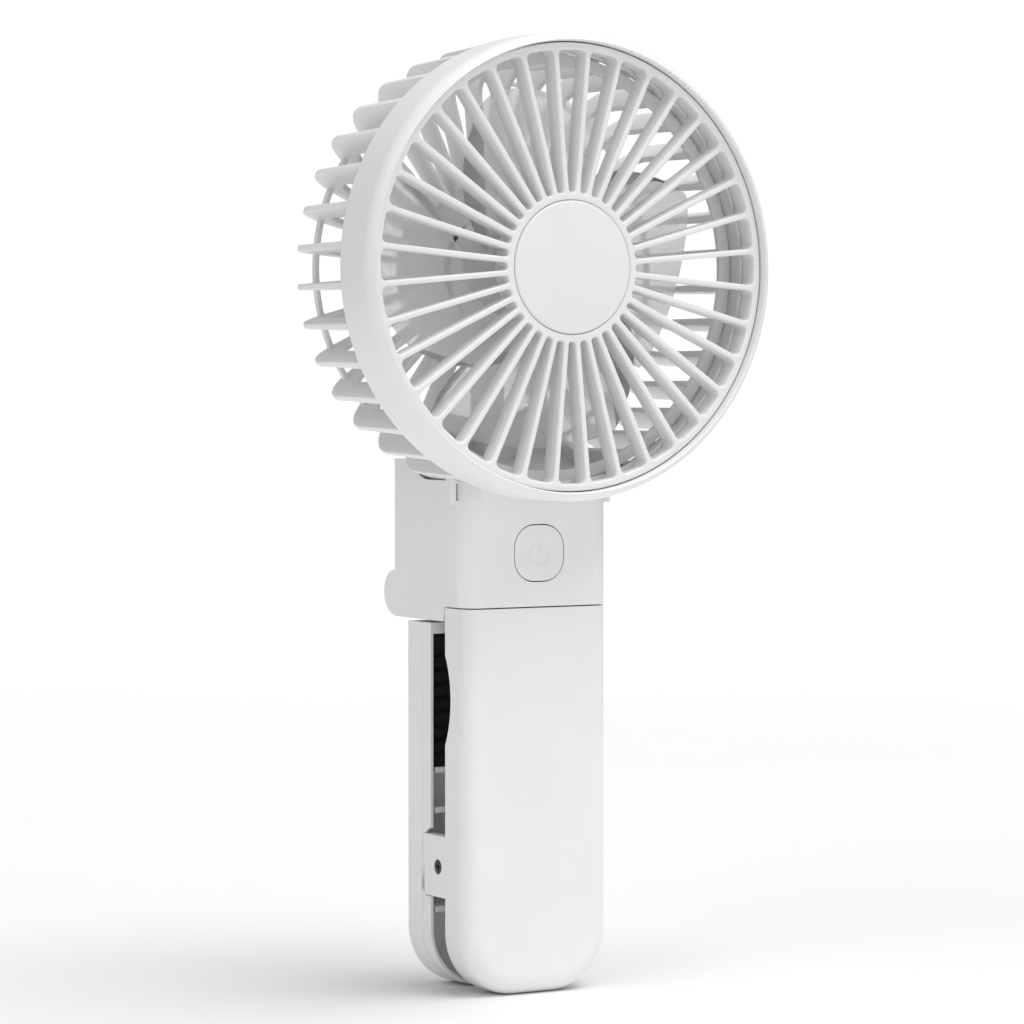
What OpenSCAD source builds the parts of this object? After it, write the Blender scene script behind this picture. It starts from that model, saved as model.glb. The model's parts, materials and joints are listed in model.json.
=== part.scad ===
// Folding handheld fan: a round caged head on a square neck that folds back over a flat handle,
// with a sprung clip plate behind the handle. The front faces -Y, the left hand is -X and +Z is up.
// The origin is on the floor, at the middle of the whole object.

/* [Head] */
// Outer radius of the head's round band
ring_r = 52.2; // [50.5:0.1:54]
// Height of the fan's axis above the floor
ring_z = 164.5; // [160:0.5:170]
// Radius of the seam round the front grille
seam_r = 50; // [49.8:0.1:50.2]
// Depth of the band behind the seam
band_depth = 11.9; // [11:0.1:14]
// Outer radius of the rear cage's ribs
cage_r = 51.2; // [50:0.1:51.5]
// Depth of the rear cage behind the seam
cage_depth = 42.5; // [42:0.1:44]
// Ribs in the rear cage, and spokes in the front grille
rib_count = 36; // [24:2:36]
// Radius of the cage's rear disc
disc_r = 22; // [20:0.5:26]

/* [Impeller] */
// Number of blades
blade_count = 4; // [3:1:4]
// Radius of the blade tips
blade_tip_r = 40.8; // [38:0.1:42.5]
// Radius of the impeller's hub
fan_hub_r = 14; // [13.8:0.1:15]

/* [Neck] */
// Width of the neck and of the handle
body_w = 37.8; // [36:0.1:40]
// Depth of the neck from front to back
neck_depth = 33.7; // [33:0.1:35]
// Radius of the upright front edges
edge_r = 4.3; // [3:0.1:5]
// Side of the square power button
button_w = 12.6; // [10:0.1:14]
// Height of the power button's centre
button_z = 100.3; // [99:0.1:101]
// Travel of the power button
button_travel = 0.4; // [0.3:0.05:0.6]

/* [Handle] */
// Height of the handle's front shell
handle_h = 87.9; // [87.5:0.1:88.2]
// Depth of the handle
handle_depth = 9.8; // [9.5:0.1:10]
// Radius of the handle's lower corners
corner_r = 14; // [10:0.5:16]
// Wall thickness of the plastic shells
wall = 1.5; // [1.2:0.1:1.6]
// Depth of the hollow that grips a round bar
scallop_depth = 2.5; // [1.5:0.1:2.8]
// Height of the middle of that hollow
scallop_z = 67; // [64:0.5:69]

/* [Clip] */
// Height of the clip plate
clip_h = 84.1; // [83:0.1:84.3]
// Height of the clip's pivot
pivot_z = 28.8; // [28:0.1:30]
// Depth of the clip's front lip behind the seam
clip_front = 31.9; // [31.3:0.1:32]
// Depth of the step behind the clip's front lip
cover_front = 35.7; // [35.5:0.1:36]
// Depth of the clip cover's rear face behind the seam
clip_rear = 42.6; // [42.4:0.1:42.8]

/* [Hinge] */
// Radius of the fold hinge's knuckle
knuckle_r = 5.2; // [5:0.1:5.4]
// Height of the fold hinge's axis
hinge_z = 90.3; // [90.2:0.1:90.6]

/* [Hidden] */
$fn = 96;

plastic = "white";
soft_black = "#222222";
steel = "silver";
brass = "#c8a040";
copper = "#b87333";
board_green = "#2f6b45";

// Depths are measured back from the seam's plane, and seam_y puts the whole object's box round Y = 0.
band_front = -2.2;
hinge_depth = 48.6;
seam_y = -(band_front + hinge_depth + knuckle_r) / 2;
half_w = body_w / 2;
neck_front = 14.8;
handle_rear = neck_front + handle_depth;
neck_rear = neck_front + neck_depth;
fit_gap = 0.1;
seam_gap = 0.3;

// The front grille and the band that holds it
grille_depth = 5;
grille_rim_r = seam_r - 0.15;
band_inner_r = 47.6;
band_edge_r = 4;
band_edge_rise = sqrt(pow(band_edge_r, 2) - pow(seam_r + 0.1 - ring_r + band_edge_r, 2));
slot_outer_r = 48.2;
spoke_w = 1.25;
hub_ring_r = 16.4;
hub_cap_r = 14.85;

// The rear cage
cage_corner_r = 10;
rib_inner_r = 45.3;
rib_inner_corner_r = 6;
rib_rear_reach = 7;
flange_r = 45.5;
hoop_r = 43.9;
solid_half_angle = 25;
duct_w = 5.4;

// The neck's electronics bay, and the slot in which the handle's hinge arm lies
arm_w = 19.2;
slot_w = 20.4;
slot_top = 95.9;
bay_floor = slot_top + wall;
front_bay_floor = handle_h + seam_gap + wall;
front_bay_rear = handle_rear - 0.45 - wall;
ear_reach = 23.7;
ear_floor = 84.8;
neck_cover_top = 111;
neck_top = 121.2;
lead_depth = 36.2;
lead_w = 3.2;

// The clip
pivot_depth = 28.1;
pin_r = 1.25;
ear_t = 2.5;
ear_rear = 34.4;
ear_low = pivot_z - 6.9;
ear_high = pivot_z + 7.1;
clip_angle = 12;
clip_edge_r = 0.8;
lip_inset = 0.3;
tray_half_w = half_w - 1;
tray_top = clip_h - 2.5;
clip_floor = clip_rear - 1.8;
frame_half_w = tray_half_w - 0.1;
frame_wall = 0.8;
frame_front = 36;
frame_floor = clip_floor - 1.3;
rib_heights = [18.5, 41.2, 50.4];
pad_front = clip_front + 0.4;
pad_top = tray_top - 0.15;
pad_bottom = 51.15;

// The motor, with its parts' depths behind the seam
motor_plate = cage_depth - 4;
motor_screw_top = cage_depth - 0.4;
shaft_r = 1;
tube_r = 4;
bearing_r = 3;
stator_r = 9.8;
stator_front = 26.5;
stator_rear = 33.5;
pole_count = 9;
bell_r = 12.2;
bell_front = 20.2;
fan_front = 7.3;
fan_rear = 31;
shaft_rear = 36.6;

// Places a piece that is drawn with its Y measured from the seam's plane
module seam() { translate([0, seam_y, 0]) children(); }
// Places a piece that is drawn round the fan's axis, with Z as depth behind the seam
module on_axis() { seam() translate([0, 0, ring_z]) rotate([-90, 0, 0]) children(); }
// Places a piece that is drawn with X outwards and Y as depth, at one angle round the fan's axis
module spoke_at(a) { seam() translate([0, 0, ring_z]) rotate([0, -a, 0]) children(); }
// Stands a drawing of depth and height upright, and runs it across the width w
module across(w) { rotate([90, 0, 90]) linear_extrude(w, center = true) children(); }
// A round bar across the width, from x0 to x1, at a depth and a height
module bar(r, x0, x1, depth, z) { translate([x0, depth, z]) rotate([0, 90, 0]) cylinder(r = r, h = x1 - x0); }
// A block from low corner to high corner
module block(low, high) { translate(low) cube(high - low); }
module tube(r_out, r_in, z0, z1) {
    translate([0, 0, z0]) difference() {
        cylinder(r = r_out, h = z1 - z0);
        translate([0, 0, -1]) cylinder(r = r_in, h = z1 - z0 + 2);
    }
}

module quarter_circle(r) intersection() {
    circle(r);
    translate([0, -r]) square(r);
}
// Half of a plate's plan, reach wide and d deep, with its outer front edge rounded
module half_plan(reach, er, d) {
    translate([0, er]) square([reach, d - er]);
    square([reach - er, d]);
    translate([reach - er, er]) quarter_circle(er);
}
module full_plan(reach, er, d) {
    half_plan(reach, er, d);
    mirror([1, 0]) half_plan(reach, er, d);
}
// An upright plate with round lower corners, whose front edge is rounded all the way round
module slab(hw, z0, z1, cr, er, d) {
    for (side = [-1, 1])
        translate([side * (hw - cr), 0, z0 + cr]) rotate([-90, 0, 0]) rotate_extrude() half_plan(cr, er, d);
    translate([0, 0, z0 + cr]) linear_extrude(z1 - z0 - cr) full_plan(hw, er, d);
    translate([0, 0, z0]) across(2 * (hw - cr)) {
        translate([er, 0]) square([d - er, cr]);
        translate([0, er]) square([d, cr - er]);
        translate([er, er]) rotate(-90) quarter_circle(er);
    }
}
module rounded_square(w, r) {
    for (x = [-1, 1], y = [-1, 1]) translate([x * (w / 2 - r), y * (w / 2 - r)]) circle(r);
    square([w, w - 2 * r], center = true);
    square([w - 2 * r, w], center = true);
}
// A pan-head screw along +Z with a cross recess, its head's top at z = 0
module screw(head_r, head_h, shank_r, length) {
    difference() {
        union() {
            translate([0, 0, -head_h]) cylinder(r = head_r, h = head_h);
            translate([0, 0, -length]) cylinder(r = shank_r, h = length);
        }
        for (a = [0, 90])
            rotate([0, 0, a]) cube([head_r * 1.2, head_r * 0.28, head_h], center = true);
    }
}

// ---- Handle ----

scallop_chord = 20.4;
scallop_r = (pow(scallop_chord / 2, 2) + pow(scallop_depth, 2)) / (2 * scallop_depth);
scallop_y = handle_rear - scallop_depth + scallop_r;
module scallop(grow) { bar(scallop_r + grow, -half_w - 1, half_w + 1, scallop_y, scallop_z); }

module ear_outline(grow) {
    rear_r = 0.6;
    translate([handle_rear - 0.5, ear_low - grow])
        square([ear_rear - rear_r - handle_rear + 0.5 + grow, ear_high - ear_low + 2 * grow]);
    translate([handle_rear, ear_low + rear_r - grow])
        square([ear_rear - handle_rear + grow, ear_high - ear_low - 2 * rear_r + 2 * grow]);
    for (z = [ear_low + rear_r - grow, ear_high - rear_r + grow])
        translate([ear_rear - rear_r + grow, z]) circle(rear_r);
}
module pivot_ear() { translate([half_w - ear_t / 2, 0, 0]) across(ear_t) ear_outline(0); }

screw_bosses = [for (x = [-12.5, 12.5], z = [9, 80.5]) [x, z]];
boss_r = 2.4;

module front_shell() color(plastic) seam() difference() {
    union() {
        difference() {
            translate([0, neck_front, 0]) slab(half_w, 0, handle_h, corner_r, edge_r, handle_depth);
            translate([0, neck_front + wall, 0]) slab(half_w - wall, wall, handle_h - wall,
                corner_r - wall, edge_r - wall, handle_depth);
        }
        for (p = screw_bosses) translate([p.x, neck_front + wall / 2, p.y]) rotate([-90, 0, 0])
            cylinder(r = boss_r, h = handle_depth - wall / 2 - wall);
        pivot_ear();
        mirror([1, 0, 0]) pivot_ear();
    }
    scallop(0);
    bar(pin_r, -half_w - 1, half_w + 1, pivot_depth, pivot_z);
    for (x = [-half_w, half_w - 1]) bar(1.75, x - 0.01, x + 1.01, pivot_depth, pivot_z);
    for (p = screw_bosses) translate([p.x, neck_front + 3, p.y]) rotate([-90, 0, 0])
        cylinder(r = 0.9, h = handle_depth);
    block([-usb_half_w, neck_front + 3.2, -1], [usb_half_w, neck_front + 7.1, wall + 1]);
    block([-arm_w / 2 - fit_gap, neck_front + 4, handle_h - wall - 0.1],
        [arm_w / 2 + fit_gap, handle_rear + 1, handle_h + 1]);
}

arm_floor = 85.1;
arm_ceiling = 91.2;
module rear_cover() color(plastic) seam() difference() {
    hw = half_w - wall - fit_gap;
    union() {
        intersection() {
            union() {
                block([-half_w, handle_rear - wall, 0], [half_w, handle_rear, handle_h]);
                intersection() {
                    scallop(wall);
                    block([-half_w, neck_front + 2, 40], [half_w, handle_rear, handle_h]);
                }
            }
            translate([0, neck_front, 0]) slab(hw, wall + fit_gap, handle_h - wall - fit_gap,
                corner_r - wall, edge_r - wall, handle_depth);
        }
        block([-arm_w / 2, neck_front + 4.2, 81], [arm_w / 2, handle_rear, handle_h - 0.1]);
        block([-arm_w / 2, handle_rear - 1, arm_floor], [arm_w / 2, hinge_depth, arm_ceiling]);
        bar(knuckle_r - 0.2, -arm_w / 2, arm_w / 2, hinge_depth, hinge_z);
    }
    scallop(0);
    for (side = [0, 1]) mirror([side, 0, 0]) block([half_w - ear_t - fit_gap, handle_rear - 0.6, ear_low - fit_gap],
        [half_w, handle_rear + 1, ear_high + fit_gap]);
    block([-arm_w / 2 - 1, 0, handle_h - 0.2], [arm_w / 2 + 1, handle_rear, handle_h + 8]);
    bar(hinge_pin_r + 0.05, -half_w, half_w, hinge_depth, hinge_z);
    for (p = screw_bosses) translate([p.x, handle_rear - 5, p.y]) rotate([-90, 0, 0])
        cylinder(r = 1.1, h = 10);
    for (p = screw_bosses) translate([p.x, handle_rear - 0.9, p.y]) rotate([-90, 0, 0])
        cylinder(r = 2, h = 3);
}

cell = [31, 5.6, 38];
cell_low = [-cell.x / 2, neck_front + wall + 0.2, 14.5];
module battery_cell() color("#8d949c") seam() {
    end_r = cell.y / 2;
    translate([0, cell_low.y + end_r, cell_low.z]) linear_extrude(cell.z) {
        square([cell.x - 2 * end_r, cell.y], center = true);
        for (x = [-1, 1]) translate([x * (cell.x / 2 - end_r), 0]) circle(end_r);
    }
    translate([-9, cell_low.y + 1.8, cell_low.z - 1.2]) cube([18, 2, 1.3]);
}

usb_half_w = 4.6;
charge_z = [2.7, 12.6];
module charge_board() color(board_green) seam()
    block([-9.6, neck_front + 6.9, charge_z[0]], [9.6, neck_front + 7.9, charge_z[1]]);

module usb_socket() color(steel) seam() difference() {
    block([-4.45, neck_front + 3.4, 0.3], [4.45, neck_front + 6.9, 8]);
    block([-4.15, neck_front + 3.7, -1], [4.15, neck_front + 6.6, 7]);
}

module battery_leads() color("#b03030") seam()
    for (x = [-1, 1]) translate([x * 8, neck_front + 4.6, 54]) cylinder(r = 0.7, h = 26, $fn = 24);

module cover_screws() color(steel) seam()
    for (p = screw_bosses) translate([p.x, handle_rear - 0.1, p.y]) rotate([-90, 0, 0])
        screw(1.9, 0.8, 0.9, 6);

// ---- Clip ----

module pivot_pin() color(steel) seam()
    bar(pin_r, -half_w + 1, half_w - 1, pivot_depth, pivot_z);

module pivot_screws() color(steel) seam()
    for (side = [0, 1]) mirror([side, 0, 0])
        translate([half_w - 0.15, pivot_depth, pivot_z]) rotate([0, 90, 0]) screw(1.7, 0.85, 1.2, 0.85);

spring_r = 2.9;
wire_r = 0.45;
spring_turns = 6.5;
spring_steps = 16;
spring_span = 8;
leg_drop = 9;
front_leg_out = 0.05;
rear_leg_out = frame_floor - pivot_depth - spring_r - wire_r - 0.1;
wire_sides = 8;
spring_rings = spring_steps * spring_turns;
function spring_angle(i) = 180 - 360 * i / spring_steps;
function wire_ring(i) = let (a = spring_angle(i))
    [for (k = [0:wire_sides - 1]) let (b = 360 * k / wire_sides, r = spring_r + wire_r * sin(b))
        [(i / spring_rings - 0.5) * spring_span + wire_r * cos(b), r * cos(a), r * sin(a)]];
// The wire runs down the front leg, round the coil and down the rear leg
module torsion_spring() color(steel) seam() translate([0, pivot_depth, pivot_z]) {
    front_leg = [for (p = wire_ring(0)) p - [0, front_leg_out, leg_drop]];
    rear_leg = [for (p = wire_ring(spring_rings)) p + [0, rear_leg_out, -leg_drop]];
    points = concat(front_leg, [for (i = [0:spring_rings]) each wire_ring(i)], rear_leg);
    last = spring_rings + 2;
    sides = [for (i = [0:last - 1], k = [0:wire_sides - 1], t = [0, 1])
        let (n = (k + 1) % wire_sides, p = i * wire_sides, q = p + wire_sides)
        t == 0 ? [p + k, p + n, q + n] : [p + k, q + n, q + k]];
    start = [[for (k = [wire_sides - 1:-1:0]) k]];
    end = [[for (k = [0:wire_sides - 1]) last * wire_sides + k]];
    polyhedron(points, concat(start, sides, end));
}

module clip_plan(hw, z0, z1, cr, er, front, rear) {
    translate([0, rear, 0]) mirror([0, 1, 0]) slab(hw, z0, z1, cr, er, rear - front);
}
// The room that the handle's ears need in the clip as it opens
module ear_room() {
    for (side = [0, 1], t = [0:3:clip_angle]) mirror([side, 0, 0])
        translate([half_w - ear_t / 2 + 0.5, 0, 0]) across(ear_t + 1.6)
            translate([pivot_depth, pivot_z]) rotate(t) translate([-pivot_depth, -pivot_z]) ear_outline(0.3);
}
module clip_cover() color(plastic) seam() difference() {
    union() {
        clip_plan(half_w, 0, clip_h, corner_r, clip_edge_r, cover_front, clip_rear);
        clip_plan(half_w - lip_inset, lip_inset, clip_h, corner_r - lip_inset, 0.3, clip_front, cover_front + 1);
    }
    clip_plan(tray_half_w, half_w - tray_half_w, tray_top, corner_r - 1, 0.5, clip_front - 1, clip_floor);
    ear_room();
}

module clip_lug() {
    lug_r = 3.3;
    lug_rear = frame_floor + 0.2;
    translate([half_w - ear_t - 0.3 - 1.3, 0, 0]) across(2.6) {
        translate([pivot_depth, pivot_z]) circle(lug_r);
        translate([pivot_depth, pivot_z - lug_r]) square([lug_rear - pivot_depth, 2 * lug_r]);
    }
}
module clip_frame() color(plastic) seam() difference() {
    inner_hw = frame_half_w - frame_wall;
    low = half_w - frame_half_w;
    union() {
        difference() {
            clip_plan(frame_half_w, low, pad_top, corner_r - low, 0.5, frame_front, clip_floor);
            clip_plan(inner_hw, low + frame_wall, pad_top - frame_wall,
                corner_r - low - frame_wall, 0.5, frame_front - 1, frame_floor);
        }
        for (z = rib_heights)
            block([-inner_hw - 0.2, pad_front, z - 0.65], [inner_hw + 0.2, frame_floor + 0.2, z + 0.65]);
        clip_lug();
        mirror([1, 0, 0]) clip_lug();
    }
    bar(pin_r + 0.05, -half_w, half_w, pivot_depth, pivot_z);
    ear_room();
}

module grip_pad() color(soft_black) seam() difference() {
    hw = frame_half_w - frame_wall - 0.1;
    union() {
        block([-frame_half_w, pad_front, pad_bottom], [frame_half_w, frame_front - 0.1, pad_top]);
        block([-hw, frame_front - 0.2, pad_bottom], [hw, frame_floor - 0.1, pad_top - frame_wall - 0.1]);
    }
    for (z = [pad_bottom + 3:3.2:pad_top - 2])
        translate([0, pad_front, z]) rotate([45, 0, 0]) cube([body_w, 1.2, 1.2], center = true);
}

// ---- Fold hinge ----

hinge_pin_r = 1.5;
module hinge_pin() color(steel) seam()
    bar(hinge_pin_r, -half_w + 2, half_w - 2, hinge_depth, hinge_z);

module friction_washers() color(brass) seam() for (x = [-slot_w / 2, slot_w / 2 - 0.5]) difference() {
    bar(4.4, x, x + 0.5, hinge_depth, hinge_z);
    bar(hinge_pin_r, x - 1, x + 1, hinge_depth, hinge_z);
}

// ---- Neck ----

module cage_outline(grow) {
    r = cage_r + grow;
    d = cage_depth + grow;
    c = cage_corner_r;
    square([r - c, d]);
    square([r, d - c]);
    translate([r - c, d - c]) circle(c, $fn = 40);
}
module lanyard_loop() {
    low = 111.4;
    translate([half_w, 0, 0]) difference() {
        block([-1, 18.4, low], [2.1, 20.4, 119]);
        block([0, 17, low + 0.9], [0.6, 21.5, 116.2]);
    }
}
module neck_housing() color(plastic) seam() difference() {
    union() {
        intersection() {
            translate([0, neck_front, ear_floor]) linear_extrude(neck_top - ear_floor)
                full_plan(half_w, edge_r, neck_depth);
            union() {
                block([-half_w, 0, handle_h + seam_gap], [half_w, neck_rear, neck_top]);
                bar(ear_reach, -half_w, half_w, hinge_depth, hinge_z);
            }
        }
        for (side = [0, 1]) mirror([side, 0, 0]) {
            bar(knuckle_r, slot_w / 2, half_w, hinge_depth, hinge_z);
            lanyard_loop();
        }
    }
    // The saddle that holds the cage
    translate([0, 0, ring_z]) rotate([-90, 0, 0]) rotate_extrude() cage_outline(0.15);
    // The handle's front shell and, between the ears, its hinge arm
    block([-half_w - 1, 0, ear_floor - 1], [half_w + 1, handle_rear + 0.2, handle_h + seam_gap]);
    block([-slot_w / 2, handle_rear - 0.45, ear_floor - 1], [slot_w / 2, neck_rear + 6, slot_top]);
    // The front bay behind the button and the rear bay above the hinge
    block([-half_w + wall, neck_front + wall, front_bay_floor],
        [half_w - wall, front_bay_rear, neck_cover_top]);
    block([-half_w + wall, front_bay_rear - 1, bay_floor], [half_w - wall, neck_rear + 1, neck_cover_top]);
    translate([0, neck_front + wall / 2, button_z]) rotate([90, 0, 0])
        linear_extrude(wall * 2, center = true) rounded_square(button_w + 0.5, 5.25);
    bar(hinge_pin_r, -half_w + 2, half_w - 2, hinge_depth, hinge_z);
    block([-lead_w / 2 - 0.2, lead_depth - 0.2, neck_cover_top - 1],
        [lead_w / 2 + 0.2, lead_depth + 1.3, neck_top]);
}

neck_screw_places = [for (x = [-14.6, 14.6], z = [100, 108.6]) [x, z]];
module neck_rear_cover() color(plastic) seam() difference() {
    block([-half_w + wall + fit_gap, neck_rear - wall, bay_floor + fit_gap],
        [half_w - wall - fit_gap, neck_rear, neck_cover_top - fit_gap]);
    for (p = neck_screw_places) translate([p.x, neck_rear, p.y]) rotate([-90, 0, 0]) {
        cylinder(r = 1, h = 8, center = true);
        translate([0, 0, -0.7]) cylinder(r = 1.8, h = 2);
    }
}
module neck_screws() color(steel) seam()
    for (p = neck_screw_places) translate([p.x, neck_rear - 0.1, p.y]) rotate([-90, 0, 0])
        screw(1.7, 0.6, 0.9, 5);

board_depth = neck_front + 5.6;
module main_board() color(board_green) seam() difference() {
    block([-15.5, board_depth, front_bay_floor + 0.4], [15.5, board_depth + 1, neck_cover_top - 0.4]);
    for (x = [-13.5, 13.5]) translate([x, board_depth, 92.4]) rotate([-90, 0, 0])
        cylinder(r = 1, h = 4, center = true);
}
module board_components() color(soft_black) seam() {
    block([-4, board_depth + 1, 104], [1, board_depth + 2.4, 109]);
    block([6, board_depth + 1, 99], [12, board_depth + 4.5, 105]);
    translate([-10, board_depth + 1, 104]) rotate([-90, 0, 0]) cylinder(r = 3, h = 8);
}
module tact_switch() color(soft_black) seam() difference() {
    block([-3, board_depth - 2.2, button_z - 3], [3, board_depth, button_z + 3]);
    translate([0, board_depth - 1, button_z]) rotate([90, 0, 0]) cylinder(r = plunger_r + 0.05, h = 3);
}
plunger_r = 1.6;
plunger_front = board_depth - 2.9;
module switch_plunger() color(brass) seam()
    translate([0, plunger_front, button_z]) rotate([-90, 0, 0]) cylinder(r = plunger_r, h = 1.1);

module power_button() color(plastic) seam() difference() {
    union() {
        translate([0, neck_front, button_z]) rotate([-90, 0, 0])
            linear_extrude(2) rounded_square(button_w, 5);
        translate([0, neck_front + 1, button_z]) rotate([-90, 0, 0])
            cylinder(r = 1.8, h = plunger_front - neck_front - 1.05);
    }
    // The engraved power sign: an open ring with a bar
    translate([0, neck_front, button_z]) rotate([90, 0, 0]) linear_extrude(0.4, center = true) {
        difference() {
            circle(2.8);
            circle(2.3);
            translate([-0.9, 0]) square([1.8, 4]);
        }
        translate([-0.25, 0.4]) square([0.5, 3.2]);
    }
}

// ---- Head ----

module rib_profile() intersection() {
    difference() {
        cage_outline(0);
        r = rib_inner_r;
        d = cage_depth - rib_rear_reach;
        c = rib_inner_corner_r;
        square([r, d - c]);
        square([r - c, d]);
        translate([r - c, d - c]) circle(c, $fn = 24);
    }
    translate([disc_r - 1.5, band_depth - 1.5]) square([cage_r, cage_depth]);
}
module rib() intersection() {
    linear_extrude(4, center = true) rib_profile();
    translate([cage_r / 2, 0, 0]) across(cage_r * 1.2)
        polygon([[7, -0.9], [cage_depth + 1, -0.6], [cage_depth + 1, 0.6], [7, 0.9]]);
}
module band() rotate_extrude() {
    difference() {
        union() {
            translate([band_inner_r, 1.5]) square([ring_r - band_inner_r, band_depth - 1.5]);
            translate([ring_r - band_edge_r, band_front + band_edge_rise]) circle(band_edge_r, $fn = 40);
        }
        square([seam_r + 0.1, grille_depth + 0.1]);
        translate([0, -9]) square([seam_r + 0.1, 10]);
        square([band_inner_r, band_depth + 5]);
    }
}
module ring_cage() color(plastic) {
    difference() {
        union() {
            on_axis() {
                band();
                tube(band_inner_r + 1, flange_r, band_depth - 1.6, band_depth - 0.1);
                rotate_extrude() translate([hoop_r - 0.6, cage_depth - 3.8]) square([1.2, 1.6]);
                translate([0, 0, motor_plate]) cylinder(r = disc_r, h = cage_depth - motor_plate - 0.2);
                rotate([0, 0, 90 - solid_half_angle]) rotate_extrude(angle = 2 * solid_half_angle)
                    intersection() {
                        difference() {
                            cage_outline(-0.25);
                            cage_outline(-2.1);
                        }
                        translate([34, 8]) square([cage_r, cage_depth]);
                    }
            }
            for (k = [0:rib_count - 1]) let (a = (k + 0.5) * 360 / rib_count)
                if (abs(a - 270) > solid_half_angle - 1) spoke_at(a) rib();
            intersection() {
                spoke_at(270) block([disc_r - 1, motor_plate - 3.4, -duct_w / 2],
                    [band_inner_r + 0.8, cage_depth - 0.6, duct_w / 2]);
                on_axis() rotate_extrude() cage_outline(-0.6);
            }
        }
        // The groove for the motor's leads, from the neck up to the motor
        spoke_at(270) block([9, lead_depth - 0.1, -lead_w / 2 - 0.1],
            [cage_r + 1, lead_depth + 1.2, lead_w / 2 + 0.1]);
        for (k = [0:2]) spoke_at(90 + 120 * k) translate([8.5, 0, 0]) rotate([-90, 0, 0]) {
            cylinder(r = 1, h = 60);
            translate([0, 0, motor_screw_top - 0.9]) cylinder(r = 2, h = 5);
        }
    }
}

module front_grille() color(plastic) {
    on_axis() {
        tube(grille_rim_r, slot_outer_r - 0.6, 0, grille_depth);
        tube(hub_ring_r, hub_cap_r + fit_gap, 0, grille_depth);
        tube(hub_ring_r, 12.5, grille_depth - 0.1, grille_depth + 1.2);
    }
    for (k = [0:rib_count - 1]) spoke_at((k + 0.5) * 360 / rib_count)
        block([hub_ring_r - 0.5, 0, -spoke_w / 2], [slot_outer_r, grille_depth - 0.2, spoke_w / 2]);
}

hub_dome_r = 110;
hub_dome_h = 0.9;
module hub_cap() color(plastic) on_axis() difference() {
    intersection() {
        translate([0, 0, -hub_dome_h]) cylinder(r = hub_cap_r, h = grille_depth + hub_dome_h - 0.1);
        translate([0, 0, hub_dome_r - hub_dome_h]) sphere(hub_dome_r, $fn = 180);
    }
    translate([0, 0, 1.6]) cylinder(r = hub_cap_r - 1.4, h = 10);
}

// ---- Motor ----

module motor_base() color(steel) on_axis() difference() {
    union() {
        translate([0, 0, motor_plate - 1.1]) cylinder(r = 12, h = 1.1);
        translate([0, 0, 21.5]) cylinder(r = tube_r, h = motor_plate - 21.5);
    }
    translate([0, 0, 20]) cylinder(r = bearing_r, h = motor_plate - 21.5);
    for (a = [30, 150, 270]) rotate([0, 0, a]) translate([8.5, 0, 30]) cylinder(r = 1, h = 20);
}
module motor_screws() color(steel) on_axis()
    for (a = [30, 150, 270]) rotate([0, 0, a]) translate([8.5, 0, motor_screw_top])
        screw(1.9, 0.8, 1, 5);

module bearings() color(steel) on_axis() for (z = [21.8, 33.8])
    tube(bearing_r, shaft_r + 0.04, z, z + 2.6);

module stator_core() color("#6b6f76") on_axis() translate([0, 0, stator_front])
    linear_extrude(stator_rear - stator_front) difference() {
        union() {
            circle(6);
            for (k = [0:pole_count - 1]) rotate(k * 360 / pole_count) {
                translate([5, -0.8]) square([4, 1.6]);
                intersection() {
                    difference() {
                        circle(stator_r);
                        circle(8.6);
                    }
                    polygon([[0, 0], [12, -3.2], [12, 3.2]]);
                }
            }
        }
        circle(tube_r);
    }
module coils() color(copper) for (k = [0:pole_count - 1]) spoke_at(k * 360 / pole_count) difference() {
    block([6.2, stator_front - 1.1, -1.75], [8.4, stator_rear + 1.1, 1.75]);
    block([6, stator_front - 0.05, -0.85], [9, stator_rear + 0.05, 0.85]);
}
module driver_board() color(board_green) on_axis()
    tube(11, tube_r + 0.1, stator_rear + 1.2, stator_rear + 2.2);
module motor_leads() color("#b03030") seam()
    block([-lead_w / 2, lead_depth, 103], [lead_w / 2, lead_depth + 1.1, ring_z - 9.2]);

module rotor_bell() color(steel) on_axis() {
    tube(bell_r, bell_r - 0.6, bell_front, stator_rear + 0.5);
    tube(bell_r, shaft_r, bell_front, bell_front + 0.8);
}
module magnet_ring() color("#44474c") on_axis()
    tube(bell_r - 0.6, stator_r + 0.5, stator_front - 0.5, stator_rear);
module shaft() color(steel) on_axis() translate([0, 0, fan_front + 2.5])
    cylinder(r = shaft_r, h = shaft_rear - fan_front - 2.5);

blade_rows = 8;
blade_cols = 10;
blade_t = 1.1;
blade_root_r = fan_hub_r - 0.6;
blade_front = 10.2;
blade_depth = 15.3;
// The blade's front and rear edges sweep round the axis: the part s = 0 is the root and s = 1 the tip
function front_edge(s) = -25.6 - 59.4 * (1 - s);
function rear_edge(s) = 34 + 8 * s * (1 - s) - 22 * pow(1 - s, 3);
// How far the round tip corners take in the tip's edge, at the part u of the way from front to rear
function corner_cut(u) = 0.7 * pow(abs(2 * u - 1), 10);
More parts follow.
